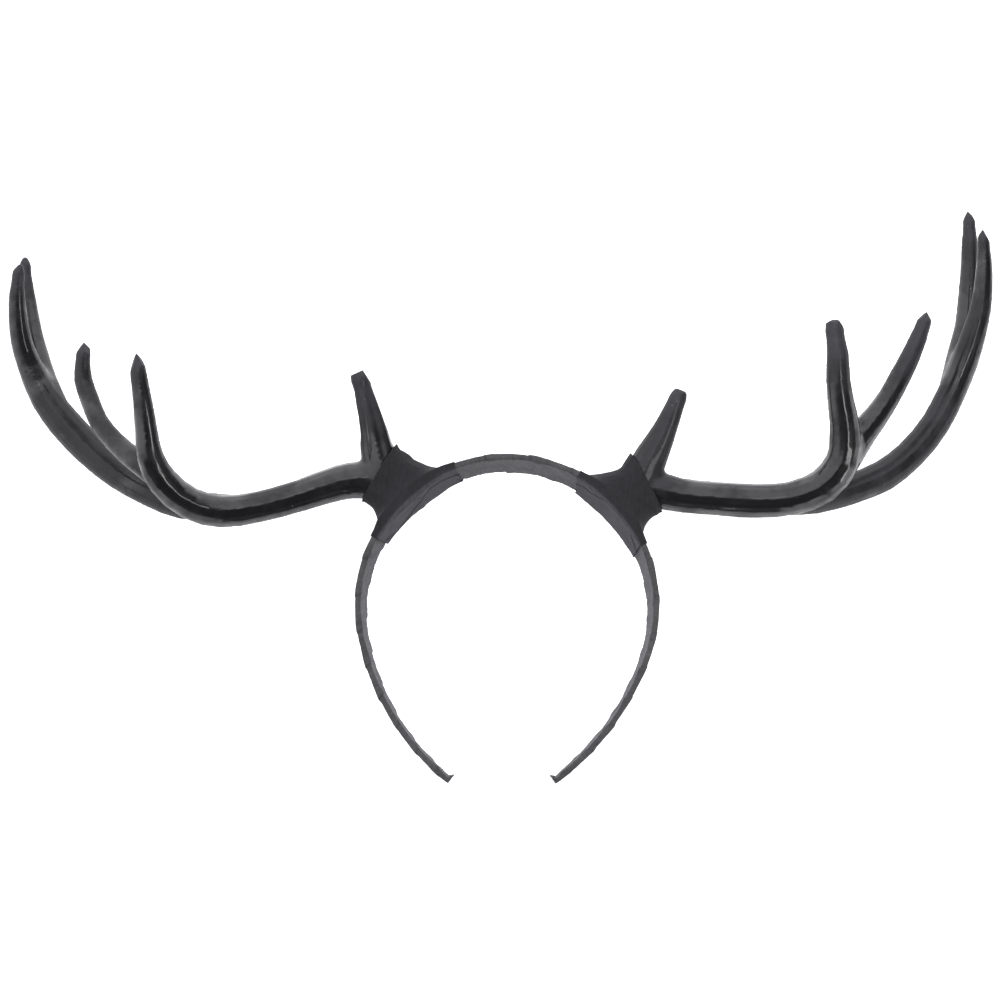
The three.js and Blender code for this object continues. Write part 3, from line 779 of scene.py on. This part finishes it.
def moulded_gloss():
    """Black plastic, satin under a clear gloss that is missing in patches and at the points."""
    material = bpy.data.materials.new("moulded_gloss")
    material.use_nodes = True
    tree = material.node_tree
    shader = tree.nodes["Principled BSDF"]
    shader.inputs["IOR"].default_value = 1.5
    shader.inputs["Specular IOR Level"].default_value = 0.28
    shader.inputs["Coat Roughness"].default_value = 0.04
    shader.inputs["Coat IOR"].default_value = 1.54
    where = new_node(tree, "TexCoord")
    worn_point = new_node(tree, "Attribute", attribute_name="worn_point")

    clouds = new_node(tree, "TexNoise")
    clouds.inputs["Scale"].default_value = 55
    clouds.inputs["Detail"].default_value = 7
    clouds.inputs["Roughness"].default_value = 0.68
    join(tree, where, "Object", clouds, "Vector")

    gone = new_node(tree, "Math", operation="MULTIPLY_ADD")
    gone.inputs[1].default_value = 0.5
    join(tree, worn_point, "Fac", gone, 0)
    join(tree, clouds, "Fac", gone, 2)
    coat = new_node(tree, "MapRange")
    coat.inputs["From Min"].default_value = 0.46
    coat.inputs["From Max"].default_value = 0.62
    coat.inputs["To Min"].default_value = 0.95
    coat.inputs["To Max"].default_value = 0.20
    join(tree, gone, "Value", coat, "Value")
    join(tree, coat, "Result", shader, "Coat Weight")

    rough = new_node(tree, "MapRange")
    rough.inputs["From Min"].default_value = 0.3
    rough.inputs["From Max"].default_value = 1.0
    rough.inputs["To Min"].default_value = 0.26
    rough.inputs["To Max"].default_value = 0.58
    join(tree, gone, "Value", rough, "Value")
    join(tree, rough, "Result", shader, "Roughness")

    worn_mask = new_node(tree, "MapRange")
    worn_mask.inputs["From Min"].default_value = 0.50
    worn_mask.inputs["From Max"].default_value = 1.0
    join(tree, gone, "Value", worn_mask, "Value")
    colour = new_node(tree, "Mix", data_type="RGBA")
    colour.inputs["A"].default_value = (0.0030, 0.0030, 0.0036, 1)
    colour.inputs["B"].default_value = (0.026, 0.026, 0.030, 1)
    join(tree, worn_mask, "Result", colour, "Factor")
    dust = new_node(tree, "Group")
    dust.node_tree = dust_flecks()
    dust.inputs["Fineness"].default_value = 420
    join(tree, where, "Object", dust, "Place")
    dusted = new_node(tree, "Mix", data_type="RGBA")
    dusted.inputs["B"].default_value = (0.16, 0.16, 0.17, 1)
    join(tree, dust, "Flecks", dusted, "Factor")
    join(tree, colour, "Result", dusted, "A")
    join(tree, dusted, "Result", shader, "Base Color")

    grain = new_node(tree, "TexNoise")
    grain.inputs["Scale"].default_value = 700
    grain.inputs["Detail"].default_value = 5
    grain.inputs["Roughness"].default_value = 0.6
    join(tree, where, "Object", grain, "Vector")
    bump = new_node(tree, "Bump")
    bump.inputs["Strength"].default_value = 0.5
    bump.inputs["Distance"].default_value = 0.00011
    join(tree, grain, "Fac", bump, "Height")
    join(tree, bump, "Normal", shader, "Normal")
    return material


gloss = moulded_gloss()
for side in antlers:
    moulded_antler(side).data.materials.append(gloss)

# Bindings: more of the cloth tape, wound over the hoop and an antler's foot until the antler
# stands firm. It is pulled smooth over the foot, with faint creases where it bridges the hollows,
# and inside the hoop, where its cut edges show as thin steps, a painted sheen makes it paler.
binding_voxel = 0.00045
wrap_facet_rounds = 10
crease_rounds = 300
bridge_crease_depth = 0.00013
bridge_crease_size = 0.0034
bridge_gather_depth = 0.00005
bridge_gather_size = 0.0017
lap_step = 0.00032
lap_step_width = 0.0003
lap_line = 0.00030
wrap_gap = 0.0004
wrap_thickness = 0.0026

# The wrap along the hoop thins out at its two ends: at "turn" degrees from the hoop's top it
# keeps the given shares of its thickness on its outer and inner face, and "reach" degrees away
# all of it. "laps" are the tape edges on its inner face: turns in degrees, with the share of
# the strap in front of the edge. "collar" is where the tape flares up and towards the middle:
# across, up and by how much.
wraps = {
    "left": {
        "crown_end": {"turn": -18.8, "outer": 0.25, "inner": 0.02, "reach": 13},
        "tip_end": {"turn": -62.0, "outer": 0.15, "inner": 0.80, "reach": 6},
        "laps": [
            {"turns": (-55, -45, -39, -33.5, -28, -18.5), "shares": (1, 0.8, 0.5, 0.2, 0.2, 0.47)},
            {"turns": (-41, -37.5), "shares": (0.1, 0.35)},
            {"turns": (-62, -53.5), "shares": (0.62, 1)},
        ],
        "collar": (-0.0465, 0.0022, 0.0009),
    },
    "right": {
        "crown_end": {"turn": 29.6, "outer": 0.45, "inner": 0.55, "reach": 6},
        "tip_end": {"turn": 67.3, "outer": 0.20, "inner": 0.30, "reach": 10},
        "laps": [
            {"turns": (29, 33, 36.5, 39.5, 43), "shares": (0.4, 0.2, 0.2, 0.1, 0)},
            {"turns": (60, 66.5, 70.5), "shares": (0.15, 0.45, 0.65)},
        ],
        "collar": (0.0540, 0.0000, 0.0003),
    },
}
collar_reach = 0.0055


def strap_place(flat):
    """Turn from the hoop's top in degrees, place across the strap and height over its outer
    face, for points near the crown."""
    radius = np.hypot(flat[:, 0], flat[:, 2] + crown_radius)
    turn = np.degrees(np.arctan2(flat[:, 0], flat[:, 2] + crown_radius))
    outward = radius - crown_radius
    rearward = flat[:, 1] + strap_width_crown / 2
    across = rearward * math.cos(strap_flare) - outward * math.sin(strap_flare)
    height = outward * math.cos(strap_flare) + rearward * math.sin(strap_flare)
    return turn, across, height


def off_strap(turn, across, height):
    """The point in worn coordinates that has the given place at the crown."""
    outward = height * math.cos(strap_flare) - across * math.sin(strap_flare)
    rearward = across * math.cos(strap_flare) + height * math.sin(strap_flare)
    radius = crown_radius + outward
    angle = np.radians(turn)
    x = radius * np.sin(angle)
    z = radius * np.cos(angle) - crown_radius
    return np.stack([x, rearward - strap_width_crown / 2, z], axis=1)


def thin_wrap(skin, wrap):
    """Thins the wrap towards its two ends, where its last turns lie flat on the hoop."""
    turn, across, height = strap_place(worn(skin.points))
    inner_side = height < -strap_thickness / 2
    kept = np.ones(len(turn))
    for end in (wrap["crown_end"], wrap["tip_end"]):
        share = np.where(inner_side, end["inner"], end["outer"])
        near = 1 - smooth_ramp(np.abs(turn - end["turn"]), 0, end["reach"])
        kept = np.minimum(kept, 1 - (1 - share) * near)
    beside = across - np.clip(across, 0, strap_width_crown)
    above = height - np.clip(height, -strap_thickness, 0)
    clear = np.hypot(beside, above)
    over = np.clip(clear - wrap_gap, 0, None)
    on_wrap = 1 - smooth_ramp(clear, wrap_thickness, 1.6 * wrap_thickness)
    thinner = over * (1 - kept) * on_wrap
    shrink = 1 - thinner / np.maximum(clear, 1e-6)
    moved = off_strap(turn, across - beside * (1 - shrink), height - above * (1 - shrink))
    skin.points = laid(moved)


def lap_edges(wrap, turn, across, inner):
    """Height and edge mark of the tape edges on the wrap's inner face."""
    height = np.zeros(len(turn))
    edge = np.zeros(len(turn))
    for lap in wrap["laps"]:
        start = lap["turns"][0]
        finish = lap["turns"][-1]
        line = np.interp(turn, lap["turns"], lap["shares"]) * strap_width_crown
        begun = smooth_ramp(turn, start - 1, start + 1.5)
        here = begun * (1 - smooth_ramp(turn, finish - 1.5, finish + 1))
        behind = smooth_ramp(across - line, -lap_step_width, lap_step_width)
        height += lap_step * here * inner * behind
        edge += here * inner * np.exp(-((across - line) / lap_line) ** 2)
    return height, edge


def wound_binding(name):
    wrap = wraps[name]
    skin = Skin(nodes[name + "_binding"], binding_voxel)
    skin.even_out(wrap_facet_rounds)
    thin_wrap(skin, wrap)
    skin.fill_creases(crease_rounds, np.ones(len(skin.points)))
    flat = worn(skin.points)
    normals = skin.normals() @ worn_axes
    turn, across, height = strap_place(flat)
    angle = np.radians(turn)
    towards_middle = -(normals[:, 0] * np.sin(angle) + normals[:, 2] * np.cos(angle))
    under = smooth_ramp(-height, 0.5 * strap_thickness, strap_thickness)
    inner = under * smooth_ramp(towards_middle, 0.2, 0.6)
    lap_height, edge = lap_edges(wrap, turn, across, inner)
    creases = -np.abs(lumps(flat * np.array([1, 0.3, 0.22]), bridge_crease_size, seed=42))
    gathers = lumps(flat * np.array([1, 0.5, 0.4]), bridge_gather_size, seed=43)
    skin.lift(lap_height + bridge_crease_depth * creases + bridge_gather_depth * gathers)
    side_x, side_z, flared = wrap["collar"]
    gap = np.hypot(flat[:, 0] - side_x, flat[:, 2] - side_z)
    outwards = np.array([math.copysign(0.6, -side_x), 0, 0.8])
    flare = flared * (1 - smooth_ramp(gap, 0.2 * collar_reach, collar_reach))
    flare = flare * smooth_ramp(normals @ outwards, 0.1, 0.7)
    skin.points = skin.points + flare[:, None] * (worn_axes @ outwards)
    # Painted sheen: the wrap's inner face, turned towards the hoop's middle, is marked to be
    # painted much paler.
    painted_inner_sheen = smooth_ramp(-height, -0.4 * strap_thickness, strap_thickness)
    painted_inner_sheen = painted_inner_sheen * smooth_ramp(towards_middle, -0.2, 0.6)
    binding = new_piece("wound_" + name + "_binding", skin.points, skin.faces)
    keep_number(binding, "tape_edge", edge)
    keep_number(binding, "painted_inner_sheen", painted_inner_sheen)
    keep_place(binding, "tape_place", "POINT", flat[:, [0, 2, 1]])
    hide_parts(name + "_binding")
    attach(binding, "root")
    return binding


binding_tape = cloth_tape(
    "binding_tape",
    dark=(0.0085, 0.0085, 0.0100, 1),
    light=(0.0125, 0.0125, 0.0145, 1),
    sheen=0.04,
    edge_dark=(0.003, 0.003, 0.004, 1),
    # The painted sheen makes the bindings' inner faces up to 4.8 times as pale.
    painted_sheen_gain=3.8,
)
for side in wraps:
    wound_binding(side).data.materials.append(binding_tape)

# Studio: a pale floor, soft light overhead and from the upper left, and two narrow strips, one
# near at the lower right and one overhead, which draw the thin streaks on the gloss. The camera
# looks down at the photograph's angle to the headband.
look_at = Vector(laid(np.array([-0.00322, 0, -0.0199])))
camera_distance = 1.2
camera_dip = math.radians(8)
view_width = 0.460
sensor_width_mm = 36


def eased(tree, source, socket, low, high, start, end):
    ramp = new_node(tree, "MapRange", interpolation_type="SMOOTHSTEP")
    ramp.inputs["From Min"].default_value = low
    ramp.inputs["From Max"].default_value = high
    ramp.inputs["To Min"].default_value = start
    ramp.inputs["To Max"].default_value = end
    join(tree, source, socket, ramp, "Value")
    return ramp


def studio_floor():
    """A matte floor, white to the camera as the photograph's background is. It lights the
    headband far less than it shows."""
    mesh = bpy.data.meshes.new("floor")
    half = 4.0
    corners = [(-half, -half, 0), (half, -half, 0), (half, half, 0), (-half, half, 0)]
    mesh.from_pydata(corners, [], [(0, 1, 2, 3)])
    floor = bpy.data.objects.new("floor", mesh)
    bpy.context.scene.collection.objects.link(floor)
    material = bpy.data.materials.new("pale_floor")
    material.use_nodes = True
    tree = material.node_tree
    shader = tree.nodes["Principled BSDF"]
    shader.inputs["Base Color"].default_value = (0.82, 0.82, 0.82, 1)
    shader.inputs["Roughness"].default_value = 0.9
    shader.inputs["Specular IOR Level"].default_value = 0.1
    shader.inputs["Emission Strength"].default_value = 0.85
    seen = new_node(tree, "LightPath")
    glow = new_node(tree, "Mix", data_type="RGBA")
    glow.inputs["A"].default_value = (0.12, 0.12, 0.13, 1)
    glow.inputs["B"].default_value = (1.0, 0.99, 1.03, 1)
    join(tree, seen, "Is Camera Ray", glow, "Factor")
    join(tree, glow, "Result", shader, "Emission Color")
    mesh.materials.append(material)


def soft_box(name, place, size, brightness, along):
    """A lit rectangle facing the headband, with its length run along the given direction, as
    bright as the given multiple of white."""
    light = bpy.data.lights.new(name, "AREA")
    light.shape = "RECTANGLE"
    light.size = size[0]
    light.size_y = size[1]
    light.energy = brightness * math.pi * light.size * light.size_y
    box = bpy.data.objects.new(name, light)
    away = (Vector(place) - look_at).normalized()
    across = away.cross(Vector(along)).normalized()
    turned = Matrix((across.cross(away), across, away)).transposed().to_4x4()
    box.matrix_world = Matrix.Translation(place) @ turned
    box.visible_camera = False
    bpy.context.scene.collection.objects.link(box)
    return box


studio_floor()
fill = soft_box("overhead_fill", (0.0, 0.0, 1.9), (2.4, 2.4), 1.6, (1, 0, 0))
fill.visible_glossy = False
soft_box("side_strip", (0.385, -0.23, 0.27), (0.60, 0.09), 5.5, (0.17, -0.34, -0.46))
soft_box("upper_strip", (-0.12, 0.06, 1.0), (0.52, 0.08), 2.2, (1, 0, 0))


def studio_world():
    """One broad soft light over the left and beyond the crown, and dim all round besides, so
    that the gloss stays black on the other side. The camera sees it white, as the floor is."""
    world = bpy.data.worlds.new("studio")
    world.use_nodes = True
    tree = world.node_tree
    where = new_node(tree, "TexCoord")
    facing = new_node(tree, "VectorMath", operation="DOT_PRODUCT")
    facing.inputs[1].default_value = (-0.50, 0.83, 0.25)
    join(tree, where, "Generated", facing, 0)
    broad = eased(tree, facing, "Value", -0.16, 0.18, 0.10, 1.38)
    seen = new_node(tree, "LightPath")
    strength = new_node(tree, "Math", operation="MAXIMUM")
    join(tree, broad, "Result", strength, 0)
    join(tree, seen, "Is Camera Ray", strength, 1)
    background = tree.nodes["Background"]
    background.inputs["Color"].default_value = (1.0, 0.99, 1.04, 1)
    join(tree, strength, "Value", background, "Strength")
    bpy.context.scene.world = world


studio_world()
bpy.context.scene.view_settings.view_transform = "Standard"

camera_data = bpy.data.cameras.new("camera")
camera_data.sensor_width = sensor_width_mm
camera_data.lens = sensor_width_mm * camera_distance / view_width
camera = bpy.data.objects.new("camera", camera_data)
bpy.context.scene.collection.objects.link(camera)
ahead = Vector(worn_axes @ np.array([0, math.cos(camera_dip), math.sin(camera_dip)]))
upward = Vector(worn_axes @ np.array([0, -math.sin(camera_dip), math.cos(camera_dip)]))
right = ahead.cross(upward)
camera.matrix_world = Matrix.Translation(look_at - ahead * camera_distance) @ Matrix(
    (right, upward, -ahead)
).transposed().to_4x4()
bpy.context.scene.camera = camera
